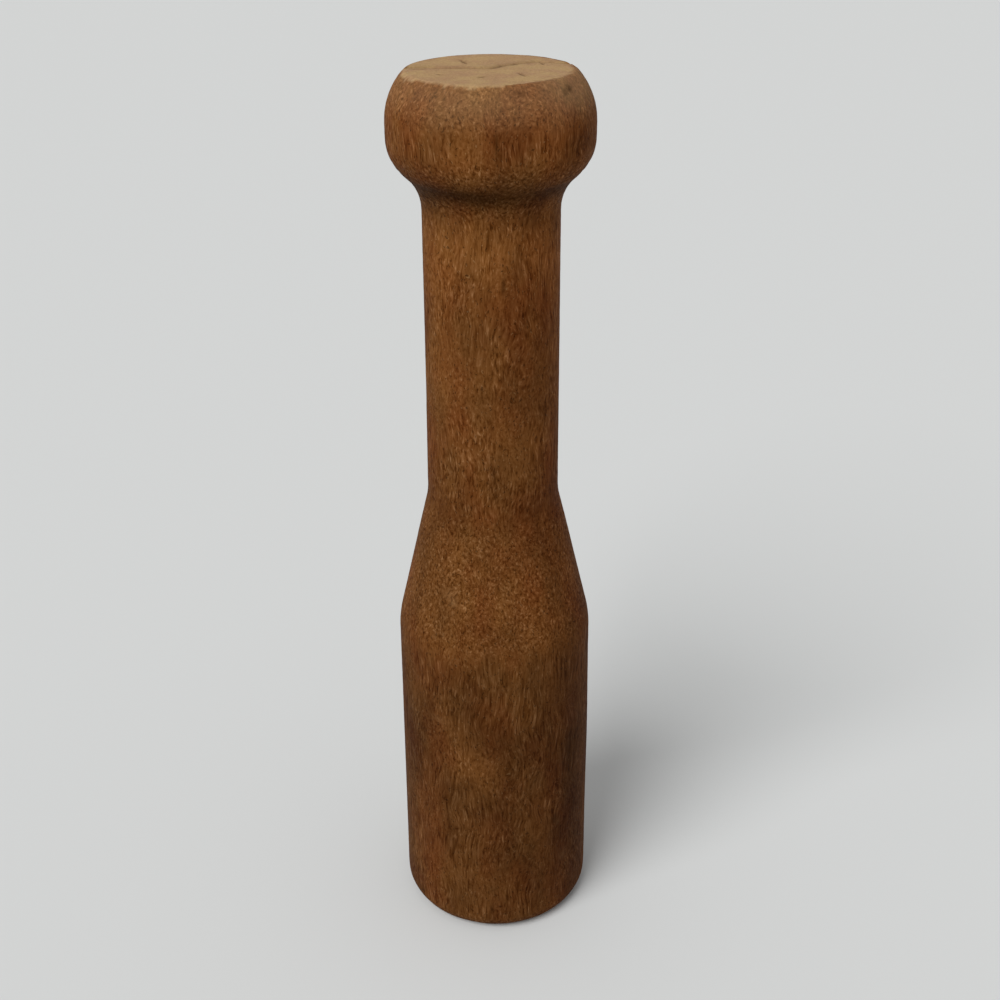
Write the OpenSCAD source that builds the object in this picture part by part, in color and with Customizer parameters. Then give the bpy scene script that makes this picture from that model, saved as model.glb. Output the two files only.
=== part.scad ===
// Hand pestle, turned on a lathe from one billet of hardwood.
// The axis is +Z and the origin is the centre of the flat foot.

/* [Overall] */
// Height from the flat of the foot to the flat top
total_h = 139.7; // [120:0.1:180]

/* [Body] */
// Height of the crushing body, from the foot to the shoulder break
body_h = 54.7; // [35:0.1:65]
// Diameter of the body at the foot, before its edge is rounded
foot_d = 31.3; // [28:0.1:40]
// Diameter of the body at the shoulder break
shoulder_d = 30.5; // [27:0.1:38]
// Radius that rounds the edge of the foot
foot_round = 2.9; // [0.5:0.1:6]
// Radius that softens the shoulder break
shoulder_round = 15; // [2:0.5:24]

/* [Neck] */
// Height of the cone that narrows the body into the neck
taper_h = 22.3; // [14:0.1:30]
// Diameter of the neck where the cone runs out
neck_low_d = 19.8; // [16:0.1:24]
// Diameter of the neck under the knob
neck_high_d = 19.5; // [15:0.1:24]
// Radius that sweeps the cone into the neck
neck_sweep = 12; // [2:0.5:30]
// Radius of the hollow between the neck and the knob
cove_r = 6.5; // [3:0.1:9]

/* [Knob] */
// Largest diameter of the knob
knob_d = 28.8; // [26:0.1:32]
// Radius of the knob's underside
knob_under_r = 6.2; // [4:0.1:8]
// Height of the straight belt round the widest part of the knob
knob_belt_h = 2; // [0.5:0.1:4]
// Height of the crown, from the belt to the flat top
crown_h = 6.8; // [6:0.1:9]
// Diameter of the flat top, before its edge is worn round
top_d = 23.2; // [20:0.1:25]
// Radius that the worn edge of the flat top has
top_edge_round = 0.6; // [0.1:0.1:1.5]

/* [Hidden] */

// Facets round the axis, and steps along each arc of the outline
$fn = 96;
arc_steps = 8;

wood_brown = [0.46, 0.28, 0.15];

// An outline point is [distance from the axis, height above the foot]
foot_corner = [foot_d / 2, 0];
shoulder_corner = [shoulder_d / 2, body_h];
neck_corner = [neck_low_d / 2, body_h + taper_h];

// The belt sits a crown below the top
belt_top_z = total_h - crown_h;
belt_low_z = belt_top_z - knob_belt_h;

// The underside arc ends level with the low edge of the belt
under_centre = [knob_d / 2 - knob_under_r, belt_low_z];

// The cove arc touches the neck and the underside arc, so its centre lies one cove
// radius off the neck and the sum of both radii from the centre of the underside arc
cove_centre_x = neck_high_d / 2 + cove_r;
cove_rise = sqrt(pow(knob_under_r + cove_r, 2) - pow(cove_centre_x - under_centre[0], 2));
cove_centre = [cove_centre_x, belt_low_z - cove_rise];
cove_swing = atan2(cove_rise, under_centre[0] - cove_centre_x);

// The crown arc leaves the belt upright and passes through the edge of the flat top
crown_inset = (knob_d - top_d) / 2;
crown_r = (pow(crown_inset, 2) + pow(crown_h, 2)) / (2 * crown_inset);
crown_centre = [knob_d / 2 - crown_r, belt_top_z];

// The worn edge touches the crown arc from inside and the flat top from below
edge_drop = crown_h - top_edge_round;
edge_centre = [
  crown_centre[0] + sqrt(pow(crown_r - top_edge_round, 2) - pow(edge_drop, 2)),
  total_h - top_edge_round
];
edge_angle = asin(edge_drop / (crown_r - top_edge_round));

function unit(v) = v / norm(v);

// Points on an arc about a centre, from one angle to another
function arc(centre, r, from, to) = [
  for (i = [0 : arc_steps])
    let (angle = from + (to - from) * i / arc_steps)
    centre + r * [cos(angle), sin(angle)]
];

// Arc of radius r in the corner that the path a, b, c makes at b
function rounded_corner(a, b, c, r) =
  let (
    back = unit(a - b),
    ahead = unit(c - b),
    half = acos(back * ahead) / 2,
    centre = b + unit(back + ahead) * r / sin(half),
    start = b + back * r / tan(half) - centre,
    from = atan2(start[1], start[0]),
    side = sign(ahead[0] * back[1] - ahead[1] * back[0])
  )
  arc(centre, r, from, from + side * (180 - 2 * half));

function body_outline() = concat(
  rounded_corner([0, 0], foot_corner, shoulder_corner, foot_round),
  rounded_corner(foot_corner, shoulder_corner, neck_corner, shoulder_round)
);

function neck_outline() = concat(
  rounded_corner(shoulder_corner, neck_corner, [neck_high_d / 2, cove_centre[1]], neck_sweep),
  arc(cove_centre, cove_r, 180, cove_swing)
);

function knob_outline() = concat(
  arc(under_centre, knob_under_r, cove_swing - 180, 0),
  arc(crown_centre, crown_r, 0, edge_angle),
  arc(edge_centre, top_edge_round, edge_angle, 90)
);

module pestle() {
  color(wood_brown)
    rotate_extrude()
      polygon(concat([[0, 0]], body_outline(), neck_outline(), knob_outline(), [[0, total_h]]));
}

pestle();
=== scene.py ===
import math
import random

import bpy
import numpy as np
from mathutils import Matrix, Vector, noise


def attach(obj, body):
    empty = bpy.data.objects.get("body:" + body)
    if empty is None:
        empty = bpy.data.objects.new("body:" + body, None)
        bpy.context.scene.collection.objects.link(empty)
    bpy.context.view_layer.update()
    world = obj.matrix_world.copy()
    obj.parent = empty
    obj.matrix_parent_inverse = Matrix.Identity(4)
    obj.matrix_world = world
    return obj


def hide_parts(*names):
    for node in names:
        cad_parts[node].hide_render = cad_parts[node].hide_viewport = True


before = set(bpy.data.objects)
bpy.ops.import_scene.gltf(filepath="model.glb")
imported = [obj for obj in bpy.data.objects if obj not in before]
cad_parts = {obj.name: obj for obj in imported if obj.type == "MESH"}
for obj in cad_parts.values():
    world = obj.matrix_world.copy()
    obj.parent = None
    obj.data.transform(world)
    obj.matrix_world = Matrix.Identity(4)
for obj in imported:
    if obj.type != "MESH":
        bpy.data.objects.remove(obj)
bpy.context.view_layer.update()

MM = 0.001
NODE = "pestle"
PIECE = "turned_pestle"

# Mesh density: columns round the axis, and the step between rows in each zone
COLUMNS = 320
FOOT_FACE_STEP = 1.1
FOOT_EDGE_STEP = 0.4
SIDE_STEP = 0.88
KNOB_STEP = 0.42
TOP_FACE_STEP = 0.17
CENTRE_RADIUS = 0.08

# Seed of the noise that makes the drying checks wander
NOISE_SEED = 3

# Heights that part the zones
FOOT_EDGE_TOP = 3.2
KNOB_FROM = 119.0
FLAT_MARGIN = 0.02

# Middle of the growth rings on the flat top and on the foot
TOP_PITH = (-0.23, 0.63)
FOOT_PITH = (0.5, -0.4)

# Camera of the photograph
CAMERA_AT = (12.22, -184.31, 172.48)
CAMERA_TURN = 3.485
CAMERA_TILT = 62.182
CAMERA_ROLL = -0.296
SENSOR_WIDTH = 36.0
LENS = 48.52

# Drying checks: points along the check, its half width, its depth, and whether it runs out at the rim
TOP_CHECKS = [
    ([TOP_PITH, (-3.76, 0.81), (-6.45, 0.43), (-8.35, 1.1), (-11.4, 0.8)], 0.40, 0.8, True),
    ([TOP_PITH, (1.83, 2.83), (3.92, 4.54), (5.87, 5.74), (7.67, 5.42), (10.2, 4.6)], 0.38, 0.7, True),
    ([(-3.3, 3.3), (-4.0, 5.4), (-4.95, 7.5)], 0.20, 0.4, False),
    ([(6.2, 5.7), (6.8, 4.4), (6.95, 2.9)], 0.16, 0.3, False),
    ([(3.9, -2.3), (4.3, -3.9), (5.3, -5.5)], 0.18, 0.3, False),
    ([(-6.7, -3.9), (-6.4, -4.6), (-5.7, -4.8)], 0.15, 0.2, False),
    ([(-1.5, -6.7), (-0.6, -5.9), (0.15, -4.8)], 0.14, 0.2, False),
    ([(-8.2, -0.6), (-9.6, -0.7), (-10.9, -0.4)], 0.16, 0.2, False),
]
FOOT_CHECKS = [
    ([FOOT_PITH, (2.8, -1.2), (5.9, -1.6), (8.4, -2.9)], 0.20, 0.4, False),
    ([FOOT_PITH, (-1.2, 1.9), (-2.1, 4.6)], 0.20, 0.4, False),
    ([FOOT_PITH, (-0.6, -3.0), (-1.6, -4.8)], 0.16, 0.3, False),
]

# Radius out to which the pale end grain of the top is bare, by angle
PALE_EDGE_ANGLES = (-180, -165, -146, -130, -104, -87, -72, -62, -46, -31, -2, 40, 90, 140, 180)
PALE_EDGE_RADII = (11.7, 12.1, 11.9, 11.7, 11.7, 11.8, 11.4, 11.1, 10.9, 11.2, 11.2, 11.2, 11.2, 11.3, 11.7)

# Marks on the side: angle, height, half width, half height, strength, lean
DARK_MARKS = [
    (-47.5, 21.9, 0.45, 0.65, 1.0, 0.0),
    (-86.0, 84.7, 0.30, 0.45, 0.6, 0.0),
    (-29.0, 22.2, 0.30, 0.90, 0.6, 0.0),
    (-77.0, 112.7, 0.35, 1.20, 0.7, 0.0),
    (-64.0, 116.0, 1.30, 3.20, 0.25, 0.1),
    (-83.4, 133.2, 0.22, 1.50, 0.6, 0.0),
    (-30.0, 132.0, 2.20, 1.80, 0.45, 0.0),
    (-32.8, 138.5, 0.70, 0.60, 0.7, 0.0),
    (-38.0, 138.2, 0.40, 0.40, 0.6, 0.0),
    (-68.0, 138.6, 0.80, 0.50, 0.5, 0.0),
    (-89.0, 5.2, 0.35, 0.90, 0.5, 0.0),
    (-82.0, 40.0, 2.00, 5.50, 0.25, 0.0),
    (-42.0, 16.0, 3.50, 9.00, 0.25, 0.0),
    (-36.0, 36.0, 2.50, 9.00, 0.20, 0.0),
]
RED_MARKS = [
    (-61.0, 112.0, 2.60, 4.50, 0.8, 0.1),
    (-83.0, 40.0, 3.00, 6.00, 0.6, 0.0),
    (-70.0, 133.0, 2.60, 2.20, 0.7, 0.0),
    (-132.0, 4.6, 4.00, 1.60, 0.9, 0.0),
    (-148.0, 5.6, 3.00, 1.50, 0.7, 0.0),
    (-84.0, 77.0, 2.60, 2.50, 0.7, 0.0),
    (-50.0, 13.0, 3.00, 7.00, 0.4, 0.0),
]
PALE_MARKS = [
    (-121.0, 42.3, 1.30, 0.22, 0.7, 0.0),
    (-118.8, 64.6, 0.80, 0.60, 0.35, 0.0),
    (-114.5, 63.6, 0.60, 0.50, 0.30, 0.0),
    (-45.0, 20.9, 0.35, 0.50, 0.35, 0.0),
    (-40.0, 12.7, 0.80, 0.80, 0.25, 0.0),
]

# Lighter and darker places of the wood itself: angle, height, half width, half height, change
TONE_MARKS = [
    (-101.0, 34.0, 3.0, 5.0, 0.25),
    (-136.0, 16.0, 3.5, 9.0, 0.25),
    (-30.0, 30.0, 4.0, 26.0, -0.20),
]

# Places where the hand-turned side stands a little proud: angle, height, half width, half height, amount
SWELLS = [
    (-172.0, 76.0, 9.0, 17.0, 0.17),
    (0.0, 33.0, 9.0, 11.0, 0.12),
    (0.0, 71.0, 6.0, 7.0, 0.08),
]

# Brightness of the wood by height above the foot, partly its own tone and partly painted light: painted shade
# darkens the body and the cove under the knob, and painted light brightens the knob towards its top
TONE_HEIGHTS = (0, 8, 30, 50, 56, 64, 77, 100, 118, 121, 124.5, 127.5, 130, 133, 137, 139.7)
TONES_AND_SHADE = (0.68, 0.64, 0.60, 0.68, 0.88, 0.92, 0.86, 0.98, 1.18, 1.0, 0.66, 0.88, 1.0, 1.1, 1.2, 1.2)


# ------ the surface as a grid of rows and columns


def outline_of(node):
    """(radius, height) of the node's outline, from the middle of the foot round to the middle of the top."""
    co = np.array([v.co for v in node.data.vertices], float) / MM
    pairs = np.unique(np.round(np.c_[np.hypot(co[:, 0], co[:, 1]), co[:, 2]], 2), axis=0)
    top = pairs[:, 1].max()
    outwards = np.where(pairs[:, 1] > top / 2, -pairs[:, 0], pairs[:, 0])
    side = pairs[np.lexsort((outwards, pairs[:, 1]))]
    return np.vstack([(CENTRE_RADIUS, 0.0), side, (CENTRE_RADIUS, top)])


def lengths_along(points):
    """Distance of each point from the first, along the line."""
    return np.r_[0.0, np.cumsum(np.linalg.norm(np.diff(points, axis=0), axis=1))]


def resampled(points, distances):
    """Points at the given distances along the line."""
    run = lengths_along(points)
    return np.c_[np.interp(distances, run, points[:, 0]), np.interp(distances, run, points[:, 1])]


def softened(points, rounds):
    """The line with its corners cut, so that short chords become a smooth curve."""
    for _ in range(rounds):
        a, b = points[:-1], points[1:]
        cut = np.stack([0.75 * a + 0.25 * b, 0.25 * a + 0.75 * b], axis=1).reshape(-1, 2)
        points = np.vstack([points[:1], cut, points[-1:]])
    return points


def row_step(height, top):
    """Distance between rows at a height."""
    if height < FLAT_MARGIN:
        return FOOT_FACE_STEP
    if height > top - FLAT_MARGIN:
        return TOP_FACE_STEP
    if height < FOOT_EDGE_TOP:
        return FOOT_EDGE_STEP
    return KNOB_STEP if height > KNOB_FROM else SIDE_STEP


def rows_along(points):
    """The outline with its points spaced as each zone asks."""
    fine = softened(resampled(points, np.arange(0.0, lengths_along(points)[-1], 0.25)), 2)
    fine = np.vstack([points[:1], fine, points[-1:]])
    run = lengths_along(fine)
    middle = (fine[1:, 1] + fine[:-1, 1]) / 2
    steps = np.array([row_step(height, points[-1, 1]) for height in middle])
    count = np.r_[0.0, np.cumsum(np.diff(run) / steps)]
    wanted = np.linspace(0.0, count[-1], round(count[-1]) + 1)
    return resampled(fine, np.interp(wanted, count, run))


class Skin:
    """The turned surface: one row per outline point and one column per angle."""

    def __init__(self, outline):
        self.radius, self.height = outline.T
        self.run = lengths_along(outline)
        self.angle = np.arange(COLUMNS) * 2 * math.pi / COLUMNS
        self.top = self.height.max()
        along = np.gradient(outline, self.run, axis=0)
        along /= np.linalg.norm(along, axis=1)[:, None]
        self.out_radial, self.out_up = along[:, 1], -along[:, 0]
        on_top = self.height > self.top - FLAT_MARGIN
        on_foot = self.height < FLAT_MARGIN
        self.first_side = int(np.nonzero(on_foot)[0].max())
        self.last_side = int(np.nonzero(on_top)[0].min())
        pull_top = np.where(on_top, 1 - self.radius / self.radius[self.last_side], 0.0)
        pull_foot = np.where(on_foot, 1 - self.radius / self.radius[self.first_side], 0.0)
        self.x = self.radius[:, None] * np.cos(self.angle)
        self.y = self.radius[:, None] * np.sin(self.angle)
        self.x += (pull_top * TOP_PITH[0] + pull_foot * FOOT_PITH[0])[:, None]
        self.y += (pull_top * TOP_PITH[1] + pull_foot * FOOT_PITH[1])[:, None]
        self.z = np.repeat(self.height[:, None], COLUMNS, axis=1)
        self.sink = np.zeros_like(self.x)

    def bumps(self, size, seed, tall=1.0):
        """Smooth noise from about -1 to 1. One bump is size mm wide and tall times that in height."""
        shift = Vector((seed * 17.3, seed * -9.1, seed * 5.7))
        scale = (size, size, size * tall)
        points = np.stack([self.x / scale[0], self.y / scale[1], self.z / scale[2]], axis=-1).reshape(-1, 3)
        return np.array([noise.noise(Vector(p) + shift) for p in points]).reshape(self.x.shape)

    def spot(self, angle, height, wide, tall, lean=0.0):
        """1 at a place on the side, fading to 0 about wide and tall mm away from it."""
        side = slice(self.first_side, self.last_side)
        run_there = np.interp(height, self.height[side], self.run[side])
        turn = (self.angle - math.radians(angle) + math.pi) % (2 * math.pi) - math.pi
        along = (self.run - run_there)[:, None]
        across = self.radius[:, None] * turn - lean * along
        return np.exp(-((across / wide) ** 2) - (along / tall) ** 2)

    def points(self):
        """Final places of the grid's points, with the wear sunk into the surface."""
        x = self.x - self.sink * self.out_radial[:, None] * np.cos(self.angle)
        y = self.y - self.sink * self.out_radial[:, None] * np.sin(self.angle)
        z = self.z - self.sink * self.out_up[:, None]
        return np.stack([x, y, z], axis=-1)


def smooth_step(low, high, value):
    """0 below low, 1 above high and a soft S between them."""
    t = np.clip((value - low) / (high - low), 0.0, 1.0)
    return t * t * (3 - 2 * t)


def wavering(points, amount, seed):
    """A hand-drawn line through the points: many short steps that stray a little."""
    points = np.array(points, float)
    run = lengths_along(points)
    fine = softened(resampled(points, np.linspace(0.0, run[-1], max(4, int(run[-1] / 0.5)))), 1)
    for i, place in enumerate(fine):
        stray = noise.noise_vector(Vector((place[0] * 1.1, place[1] * 1.1, seed * 3.7)))
        fine[i] = place + amount * np.array(stray.xy)
    return fine


def distance_to_line(x, y, line):
    """Distance of each point from the line, and how far along it the nearest place is, from 0 to 1."""
    run = lengths_along(line)
    nearest = np.full(x.shape, np.inf)
    share = np.zeros_like(x)
    for i in range(len(line) - 1):
        a, step = line[i], line[i + 1] - line[i]
        t = np.clip(((x - a[0]) * step[0] + (y - a[1]) * step[1]) / (step @ step), 0.0, 1.0)
        gap = np.hypot(x - a[0] - t * step[0], y - a[1] - t * step[1])
        closer = gap < nearest
        nearest = np.where(closer, gap, nearest)
        share = np.where(closer, (run[i] + t * (run[i + 1] - run[i])) / run[-1], share)
    return nearest, share


def cut_checks(skin, checks, rows, dark):
    """Open the drying checks in one flat face, and darken them."""
    x, y = skin.x[rows], skin.y[rows]
    for number, (points, half_width, depth, to_rim) in enumerate(checks):
        gap, share = distance_to_line(x, y, wavering(points, 0.16, number))
        fade = 1.0 if to_rim else 1 - smooth_step(0.55, 1.0, share)
        start = 1.0 if points[0] in (TOP_PITH, FOOT_PITH) else smooth_step(0.0, 0.3, share)
        open_here = fade * start
        groove = np.exp(-((gap / (half_width * (0.45 + 0.55 * open_here))) ** 2)) * open_here
        halo = np.exp(-((gap / (half_width * 2.6)) ** 2)) * open_here
        skin.sink[rows] += depth * groove
        dark[rows] = np.maximum(dark[rows], np.maximum(groove, 0.3 * halo))


# ------ shape and masks


def worn_shape(skin):
    """Sink the small faults of an old hand-turned piece into the surface."""
    side = np.clip(skin.out_radial, 0.0, 1.0)[:, None]
    out_of_round = np.clip(0.07 * skin.bumps(22.0, 1, tall=2.0), 0.0, None)
    tool_marks = 0.006 * (1 + np.sin(skin.run * 2 * math.pi / 1.3))[:, None]
    ripple = 0.012 * (1 + skin.bumps(3.0, 2))
    skin.sink += side * (out_of_round + tool_marks + ripple)

    rim = np.exp(-(((skin.run - skin.run[skin.last_side]) / 1.3) ** 2))[:, None]
    skin.sink += rim * np.clip(0.06 * skin.bumps(4.5, 3), 0.0, None)
    foot_rim = np.exp(-(((skin.run - skin.run[skin.first_side] - 2.0) / 2.2) ** 2))[:, None]
    skin.sink += foot_rim * np.clip(0.14 * skin.bumps(5.0, 4), 0.0, None)
    for angle, height, wide, tall, amount in SWELLS:
        skin.sink -= amount * skin.spot(angle, height, wide, tall)

    faces = np.clip(np.abs(skin.out_up), 0.0, 1.0)[:, None] ** 6
    skin.sink += faces * 0.03 * (1 + skin.bumps(3.2, 5))

    line_run = np.interp(127.3, skin.height[skin.first_side:skin.last_side],
                         skin.run[skin.first_side:skin.last_side])
    skin.sink += 0.09 * np.exp(-(((skin.run - line_run + 0.5) / 0.35) ** 2))[:, None]
    skin.sink += 0.06 * np.exp(-(((skin.run - line_run - 0.6) / 0.40) ** 2))[:, None]


def dents(skin, count, seed):
    """Shallow knocks at seeded places on the side."""
    dice = random.Random(seed)
    for _ in range(count):
        place = (dice.uniform(-180, 180), dice.uniform(4, 136))
        size = dice.uniform(0.6, 1.8)
        depth = dice.uniform(0.03, 0.10)
        skin.sink += depth * skin.spot(*place, size, size * dice.uniform(0.6, 1.6), dice.uniform(-0.4, 0.4))


def marks(skin, places, ragged):
    """Sum of the listed marks, broken up by noise."""
    total = np.zeros_like(skin.x)
    for angle, height, wide, tall, strength, lean in places:
        total += strength * skin.spot(angle, height, wide, tall, lean)
    return total * (1 + ragged * skin.bumps(1.6, 6))


def masks_of(skin):
    """Named masks from 0 to 1, one value for each point of the grid."""
    dark = marks(skin, DARK_MARKS, 0.3)
    red = marks(skin, RED_MARKS, 0.6)
    pale = marks(skin, PALE_MARKS, 0.6)

    around = skin.bumps(6.0, 7)
    # Dark band round the cove under the knob: partly grime, partly painted shade under the knob's overhang
    cove_grime_and_shade = np.exp(-(((skin.height - 125.4) / 1.5) ** 2))[:, None] * (0.55 + 0.5 * around)
    dark = np.maximum(dark, cove_grime_and_shade)

    top_rows = slice(skin.last_side - 6, None)
    foot_rows = slice(0, skin.first_side + 1)
    cut_checks(skin, TOP_CHECKS, top_rows, dark)
    cut_checks(skin, FOOT_CHECKS, foot_rows, dark)

    degrees = (np.degrees(skin.angle) + 180) % 360 - 180
    edge = np.interp(degrees, PALE_EDGE_ANGLES, PALE_EDGE_RADII)
    edge_noise = 0.35 * skin.bumps(1.2, 8) + 0.3 * skin.bumps(0.5, 9)
    inside = edge[None, :] + edge_noise - skin.radius[:, None]
    soft = np.interp(degrees, (-180, -60, -40, 0, 40, 180), (0.2, 0.2, 0.8, 0.8, 0.2, 0.2))
    bare_top = smooth_step(-soft, soft, inside) * (skin.height > 136.0)[:, None]
    foot_face = smooth_step(0.0, 1.4, 12.6 + skin.bumps(3.0, 10) - skin.radius[:, None])
    bare_foot = 0.35 * foot_face * (skin.height < 0.6)[:, None]
    # Pale crown of the knob: partly rubbed wear, partly painted light on the upward-facing crown, and strongest
    # on the right front, where it paints a sheen
    rubbed_and_lit = np.interp(degrees, (-180, -120, -60, -40, 0, 40, 180), (0.18, 0.22, 0.22, 0.42, 0.42, 0.2, 0.18))
    rubbed_and_lit_crown = rubbed_and_lit * smooth_step(133.0, 139.0, skin.height[:, None] + 1.2 * skin.bumps(4.0, 13))
    end_grain_and_light = np.maximum(np.maximum(bare_top, bare_foot), rubbed_and_lit_crown)

    # Brightness by height, partly painted shade and painted light, with random and listed changes of the wood's
    # own tone
    tone_and_shade = np.interp(skin.height, TONE_HEIGHTS, TONES_AND_SHADE)[:, None] * (1 + 0.10 * skin.bumps(9.0, 11, tall=2.2))
    for angle, height, wide, tall, change in TONE_MARKS:
        tone_and_shade += change * skin.spot(angle, height, wide, tall)
    # Painted shade: the side turned away from the key light gets a darker, redder colour
    shaded_side = smooth_step(-75.0, -25.0, degrees) * (1 - smooth_step(60.0, 140.0, degrees))
    shaded_side = np.repeat(shaded_side[None, :], len(skin.height), axis=0) * (1 + 0.5 * skin.bumps(7.0, 14, tall=2.0))
    slope = np.convolve(np.abs(skin.out_up), np.ones(5) / 5, mode="same")
    cross = smooth_step(0.04, 0.26, slope)[:, None] + 0.6 * smooth_step(0.1, 0.5, skin.bumps(8.0, 12, tall=1.5))
    return {
        "dark": np.clip(dark, 0, 1),
        "red": np.clip(red, 0, 1),
        "pale": np.clip(pale, 0, 1),
        "end_grain_and_light": end_grain_and_light,
        "tone_and_shade": np.clip(tone_and_shade, 0, 2),
        "cross_cut": np.clip(cross, 0, 1),
        "shaded_side": np.clip(shaded_side, 0, 1),
    }


# ------ mesh


def face_table(skin):
    """Corner numbers of every face, and the (row, column) of every corner for the bake map."""
    rows = len(skin.radius)
    faces, corners = [], []
    for row in range(rows - 1):
        for col in range(COLUMNS):
            right = (col + 1) % COLUMNS
            faces.append((row * COLUMNS + col, row * COLUMNS + right,
                          (row + 1) * COLUMNS + right, (row + 1) * COLUMNS + col))
            corners += [(row, row, col), (row, row, col + 1), (row, row + 1, col + 1), (row, row + 1, col)]
    foot_centre, top_centre = rows * COLUMNS, rows * COLUMNS + 1
    last = rows - 1
    for col in range(COLUMNS):
        right = (col + 1) % COLUMNS
        faces.append((foot_centre, right, col))
        corners += [(0, -1, col), (0, 0, col + 1), (0, 0, col)]
        faces.append((top_centre, last * COLUMNS + col, last * COLUMNS + right))
        corners += [(last, rows, col), (last, last, col), (last, last, col + 1)]
    return faces, np.array(corners)


def bake_map(skin, corners):
    """Where each corner lies in the unit square: the side as a strip, and the two flat faces as discs."""
    rows = len(skin.radius)
    face_row, row, col = corners.T
    run_low, run_high = skin.run[skin.first_side], skin.run[skin.last_side]
    safe_row = np.clip(row, 0, rows - 1)
    u = 0.005 + 0.69 * col / COLUMNS
    v = 0.005 + 0.99 * (skin.run[safe_row] - run_low) / (run_high - run_low)
    turn = col * 2 * math.pi / COLUMNS
    radius = np.where((row < 0) | (row >= rows), 0.0, skin.radius[safe_row])
    for inside, centre_v, widest in (
        (face_row < skin.first_side, 0.2, skin.radius[skin.first_side]),
        (face_row >= skin.last_side, 0.8, skin.radius[skin.last_side]),
    ):
        u = np.where(inside, 0.85 + 0.14 * radius / widest * np.cos(turn), u)
        v = np.where(inside, centre_v + 0.14 * radius / widest * np.sin(turn), v)
    return np.c_[u, v]


def build_piece(skin, masks):
    """The lathe surface as one closed Blender mesh, with its masks and its bake map."""
    top_centre = (*TOP_PITH, skin.points()[-1, :, 2].mean())
    foot_centre = (*FOOT_PITH, skin.points()[0, :, 2].mean())
    points = np.vstack([skin.points().reshape(-1, 3), foot_centre, top_centre]) * MM
    faces, corners = face_table(skin)
    mesh = bpy.data.meshes.new(PIECE)
    mesh.from_pydata(points.tolist(), [], faces)
    for name, grid in masks.items():
        layer = mesh.attributes.new(name, "FLOAT", "POINT")
        values = np.r_[grid.ravel(), grid[0].mean(), grid[-1].mean()]
        layer.data.foreach_set("value", values.astype(np.float32))
    layer = mesh.uv_layers.new(name="OFBake")
    layer.data.foreach_set("uv", bake_map(skin, corners).astype(np.float32).ravel())
    mesh.shade_smooth()
    mesh.validate()
    piece = bpy.data.objects.new(PIECE, mesh)
    bpy.context.scene.collection.objects.link(piece)
    return piece


# ------ material


def srgb(red, green, blue):
    """Linear colour of a screen colour that is given from 0 to 255."""
    values = [c / 255 for c in (red, green, blue)]
    return tuple(c / 12.92 if c <= 0.04045 else ((c + 0.055) / 1.055) ** 2.4 for c in values) + (1.0,)


class Nodes:
    """Short calls that add shader nodes and join them."""

    def __init__(self, material):
        material.use_nodes = True
        self.tree = material.node_tree
        self.shader = self.tree.nodes["Principled BSDF"]

    def add(self, kind, inputs, **settings):
        node = self.tree.nodes.new(kind)
        for name, value in settings.items():
            setattr(node, name, value)
        for name, value in inputs.items():
            self.put(node.inputs[name], value)
        return node

    def put(self, socket, value):
        if isinstance(value, bpy.types.NodeSocket):
            self.tree.links.new(value, socket)
        else:
            socket.default_value = value

    def maths(self, operation, a, b=0.0, clamp=False):
        return self.add("ShaderNodeMath", {0: a, 1: b}, operation=operation, use_clamp=clamp).outputs[0]

    def vector(self, operation, a, b):
        return self.add("ShaderNodeVectorMath", {0: a, 1: b}, operation=operation).outputs[0]

    def remap(self, value, low, high, to_low=0.0, to_high=1.0):
        inputs = {"Value": value, "From Min": low, "From Max": high, "To Min": to_low, "To Max": to_high}
        return self.add("ShaderNodeMapRange", inputs, interpolation_type="SMOOTHSTEP").outputs[0]

    def mix(self, factor, a, b, blend="MIX"):
        inputs = {0: factor, 6: a, 7: b}
        node = self.add("ShaderNodeMix", inputs, data_type="RGBA", blend_type=blend)
        return node.outputs[2]

    def scaled(self, colour, amount):
        node = self.add("ShaderNodeVectorMath", {0: colour, "Scale": amount}, operation="SCALE")
        return node.outputs[0]

    def noise(self, place, scale, detail=2.0, roughness=0.5):
        inputs = {"Vector": place, "Scale": scale, "Detail": detail, "Roughness": roughness}
        return self.add("ShaderNodeTexNoise", inputs)

    def cells(self, place, scale):
        return self.add("ShaderNodeTexVoronoi", {"Vector": place, "Scale": scale}).outputs["Distance"]

    def mask(self, name):
        return self.add("ShaderNodeAttribute", {}, attribute_name=name).outputs["Fac"]


# Colours of the wood, from the darkest fibre to the palest
GOLDEN = ((0.00, (58, 27, 2)), (0.30, (90, 52, 19)), (0.50, (106, 66, 30)), (0.70, (117, 76, 40)), (1.00, (150, 108, 70)))
REDDISH = ((0.00, (54, 19, 0)), (0.30, (84, 42, 13)), (0.50, (99, 55, 23)), (0.70, (110, 65, 32)), (1.00, (142, 96, 60)))
# Dark colour of pores, marks and checks, also used for the painted shade in the cove under the knob
GRIME_AND_SHADE = srgb(30, 12, 0)
SCUFF = srgb(160, 124, 84)
PALE_WOOD = srgb(172, 141, 100)
PALE_WOOD_PINK = srgb(164, 130, 96)
CHECK_DARK = srgb(44, 27, 15)
# Painted shade: darker, redder tint of the side turned away from the key light
SHADED_SIDE_TINT = (0.98, 0.86, 0.76, 1.0)
SHEEN = (1.0, 0.72, 0.45, 1.0)


def wood_ramp(nodes, value, stops):
    """Colours that a value from 0 to 1 runs through."""
    node = nodes.add("ShaderNodeValToRGB", {"Fac": value})
    while len(node.color_ramp.elements) < len(stops):
        node.color_ramp.elements.new(0.5)
    for element, (place, colour) in zip(node.color_ramp.elements, stops):
        element.position = place
        element.color = srgb(*colour)
    return node.outputs["Color"]


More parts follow.
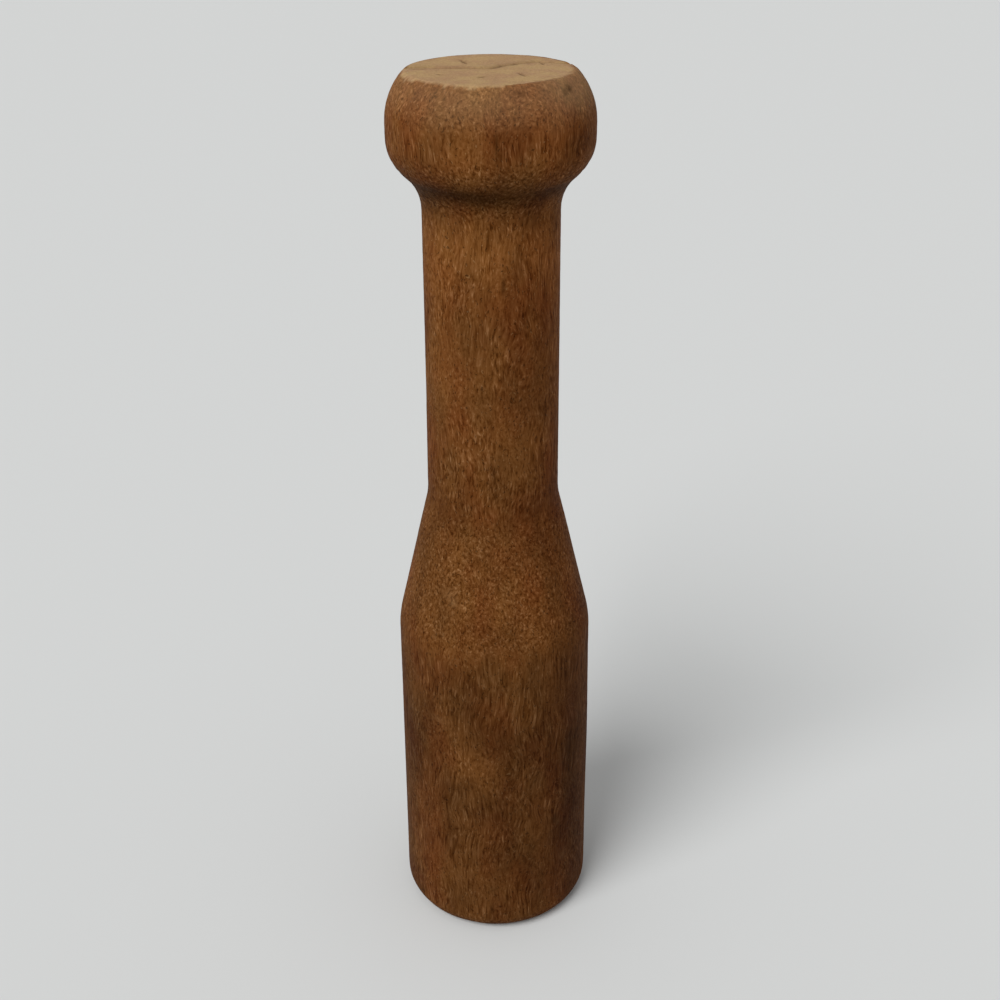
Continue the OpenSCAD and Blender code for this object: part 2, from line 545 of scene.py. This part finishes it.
def fibre_noise(nodes, place, stretch, scale, shift):
    """Bundles with dark gaps between them, drawn out along the grain, as one value round 0.5."""
    place = nodes.vector("MULTIPLY", nodes.vector("ADD", place, (shift, -shift, shift)), (1.0, 1.0, stretch))
    strands = nodes.noise(place, scale, 3.0, 0.62)
    strands.inputs["Distortion"].default_value = 0.5
    return strands.outputs["Fac"]


def wood_material():
    """Open-pored brown hardwood as a solid texture, so that each cut through it shows the right grain."""
    material = bpy.data.materials.new("old_hardwood")
    nodes = Nodes(material)
    place = nodes.add("ShaderNodeTexCoord", {}).outputs["Object"]
    place = nodes.vector("MULTIPLY", place, (1000.0, 1000.0, 1000.0))

    # Interlocked grain: the fibres sway from side to side as they rise
    sway = nodes.noise(nodes.vector("MULTIPLY", place, (1.0, 1.0, 0.7)), 1 / 7.0, 2.0).outputs["Color"]
    sway = nodes.vector("SUBTRACT", sway, (0.5, 0.5, 0.5))
    sway = nodes.vector("MULTIPLY", sway, (3.4, 3.4, 0.0))
    grain_place = nodes.vector("ADD", place, sway)

    # Long fibres, short fibres, and the speckle where the cut crosses the fibres
    long_fibre = fibre_noise(nodes, grain_place, 0.08, 3.0, 0.0)
    short_fibre = fibre_noise(nodes, grain_place, 0.24, 3.0, 20.0)
    speckle = fibre_noise(nodes, grain_place, 0.62, 2.7, 40.0)
    lengths = nodes.noise(nodes.vector("ADD", place, (11.0, 5.0, 70.0)), 1 / 9.0, 1.0).outputs["Fac"]
    lengths = nodes.remap(lengths, 0.44, 0.58)
    fibre = nodes.add("ShaderNodeMix", {0: lengths, 2: long_fibre, 3: short_fibre}).outputs[0]
    fibre = nodes.add("ShaderNodeMix", {0: nodes.mask("cross_cut"), 2: fibre, 3: speckle}).outputs[0]
    fibre = nodes.maths("MULTIPLY", nodes.maths("SUBTRACT", fibre, 0.5), 2.2)
    fibre = nodes.maths("ADD", fibre, 0.5, clamp=True)

    ruffle = nodes.noise(place, 1.3, 1.0).outputs["Color"]
    ruffle = nodes.vector("MULTIPLY", nodes.vector("SUBTRACT", ruffle, (0.5, 0.5, 0.5)), (0.9, 0.9, 0.9))
    pore_place = nodes.vector("MULTIPLY", nodes.vector("ADD", grain_place, ruffle), (1.0, 1.0, 0.28))
    pores = nodes.remap(nodes.cells(pore_place, 2.3), 0.10, 0.24, 1.0, 0.0)
    flecks = nodes.cells(nodes.vector("ADD", pore_place, (3.3, 8.1, 5.2)), 2.3)
    flecks = nodes.remap(flecks, 0.08, 0.20, 1.0, 0.0)

    patch_place = nodes.vector("MULTIPLY", place, (1.0, 1.0, 0.5))
    redness = nodes.noise(patch_place, 1 / 7.0, 3.0, 0.5).outputs["Fac"]
    redness = nodes.remap(redness, 0.40, 0.72)
    redness = nodes.maths("ADD", redness, nodes.mask("red"), clamp=True)
    shade = nodes.noise(nodes.vector("ADD", patch_place, (50.0, 9.0, 4.0)), 1 / 5.0, 3.0, 0.55).outputs["Fac"]
    shade = nodes.remap(shade, 0.3, 0.7, 0.82, 1.18)

    wood = nodes.mix(redness, wood_ramp(nodes, fibre, GOLDEN), wood_ramp(nodes, fibre, REDDISH))
    wood = nodes.mix(nodes.maths("MULTIPLY", pores, 0.55), wood, GRIME_AND_SHADE)
    wood = nodes.mix(nodes.maths("MULTIPLY", flecks, 0.30), wood, SCUFF)
    # Brightness by place: the wood's own tone, with painted shade on the body and in the cove and painted light
    # on the knob
    wood = nodes.scaled(wood, nodes.maths("MULTIPLY", shade, nodes.mask("tone_and_shade")))
    # Painted shade on the side turned away from the key light
    wood = nodes.mix(nodes.mask("shaded_side"), wood, nodes.mix(1.0, wood, SHADED_SIDE_TINT, "MULTIPLY"))
    wood = nodes.mix(nodes.maths("MULTIPLY", nodes.mask("pale"), 0.6), wood, SCUFF)

    rings = nodes.noise(nodes.vector("MULTIPLY", place, (1.0, 1.0, 0.2)), 0.35, 3.0, 0.6).outputs["Fac"]
    bare = nodes.mix(nodes.remap(rings, 0.35, 0.65), PALE_WOOD, PALE_WOOD_PINK)
    bare = nodes.scaled(bare, nodes.remap(fibre, 0.0, 1.0, 0.88, 1.1))
    bare = nodes.mix(nodes.maths("MULTIPLY", pores, 0.12), bare, CHECK_DARK)
    # Pale end grain of the top and foot, and the pale crown of the knob, which is partly painted light and
    # sheen
    wood = nodes.mix(nodes.mask("end_grain_and_light"), wood, bare)
    # Darkens the marks and checks, and paints shade into the cove under the knob
    wood = nodes.mix(nodes.maths("MULTIPLY", nodes.mask("dark"), 0.85), wood, GRIME_AND_SHADE)
    nodes.put(nodes.shader.inputs["Base Color"], wood)

    roughness = nodes.remap(fibre, 0.0, 1.0, 0.78, 0.62)
    nodes.put(nodes.shader.inputs["Roughness"], roughness)
    nodes.shader.inputs["Specular IOR Level"].default_value = 0.04
    nodes.shader.inputs["Specular Tint"].default_value = SHEEN

    relief = nodes.maths("SUBTRACT", nodes.maths("MULTIPLY", fibre, 0.6), pores)
    bump = nodes.add("ShaderNodeBump", {"Strength": 0.6, "Distance": 0.00010, "Height": relief})
    nodes.put(nodes.shader.inputs["Normal"], bump.outputs["Normal"])
    return material


# ------ floor, light and camera

FLOOR_COLOUR = (0.66, 0.67, 0.665, 1.0)
BACKGROUND = (0.72, 0.75, 0.75, 1.0)
FILL_STRENGTH = 0.45
KEY_STRENGTH = 2.3
KEY_SPREAD = 34.0
KEY_FROM = (-0.42, -0.60, 0.80)


def add_floor():
    half = 3.0
    corners = [(-half, -half, 0), (half, -half, 0), (half, half, 0), (-half, half, 0)]
    mesh = bpy.data.meshes.new("floor")
    mesh.from_pydata(corners, [], [(0, 1, 2, 3)])
    floor = bpy.data.objects.new("floor", mesh)
    floor.location.z = -0.02 * MM
    bpy.context.scene.collection.objects.link(floor)
    material = bpy.data.materials.new("pale_floor")
    nodes = Nodes(material)
    nodes.shader.inputs["Base Color"].default_value = FLOOR_COLOUR
    nodes.shader.inputs["Roughness"].default_value = 0.9
    nodes.shader.inputs["Specular IOR Level"].default_value = 0.1
    mesh.materials.append(material)


def add_light():
    """A broad soft key from the upper left, and an even pale fill from all round."""
    lamp = bpy.data.lights.new("key", "SUN")
    lamp.energy = KEY_STRENGTH
    lamp.angle = math.radians(KEY_SPREAD)
    key = bpy.data.objects.new("key", lamp)
    key.rotation_euler = Vector(KEY_FROM).to_track_quat("Z", "Y").to_euler()
    bpy.context.scene.collection.objects.link(key)

    world = bpy.data.worlds.new("studio")
    world.use_nodes = True
    bpy.context.scene.world = world
    tree = world.node_tree
    fill = tree.nodes["Background"]
    fill.inputs["Color"].default_value = (1.0, 1.0, 1.0, 1.0)
    fill.inputs["Strength"].default_value = FILL_STRENGTH
    seen = tree.nodes.new("ShaderNodeBackground")
    seen.inputs["Color"].default_value = BACKGROUND
    path = tree.nodes.new("ShaderNodeLightPath")
    choose = tree.nodes.new("ShaderNodeMixShader")
    tree.links.new(path.outputs["Is Camera Ray"], choose.inputs[0])
    tree.links.new(fill.outputs[0], choose.inputs[1])
    tree.links.new(seen.outputs[0], choose.inputs[2])
    tree.links.new(choose.outputs[0], tree.nodes["World Output"].inputs["Surface"])


def add_camera():
    lens = bpy.data.cameras.new("camera")
    lens.sensor_width = SENSOR_WIDTH
    lens.lens = LENS
    camera = bpy.data.objects.new("camera", lens)
    turn = Matrix.Rotation(math.radians(CAMERA_TURN), 4, "Z")
    tilt = Matrix.Rotation(math.radians(CAMERA_TILT), 4, "X")
    roll = Matrix.Rotation(math.radians(CAMERA_ROLL), 4, "Z")
    camera.matrix_world = Matrix.Translation(Vector(CAMERA_AT) * MM) @ turn @ tilt @ roll
    bpy.context.scene.collection.objects.link(camera)
    bpy.context.scene.camera = camera


add_camera()
add_floor()
add_light()
bpy.context.scene.view_settings.view_transform = "Standard"

# The wander of the checks differs from run to run unless the noise is seeded
noise.seed_set(NOISE_SEED)
skin = Skin(rows_along(outline_of(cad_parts[NODE])))
worn_shape(skin)
dents(skin, 26, 5)
masks = masks_of(skin)
pestle = build_piece(skin, masks)
pestle.data.materials.append(wood_material())
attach(pestle, "root")
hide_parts(NODE)
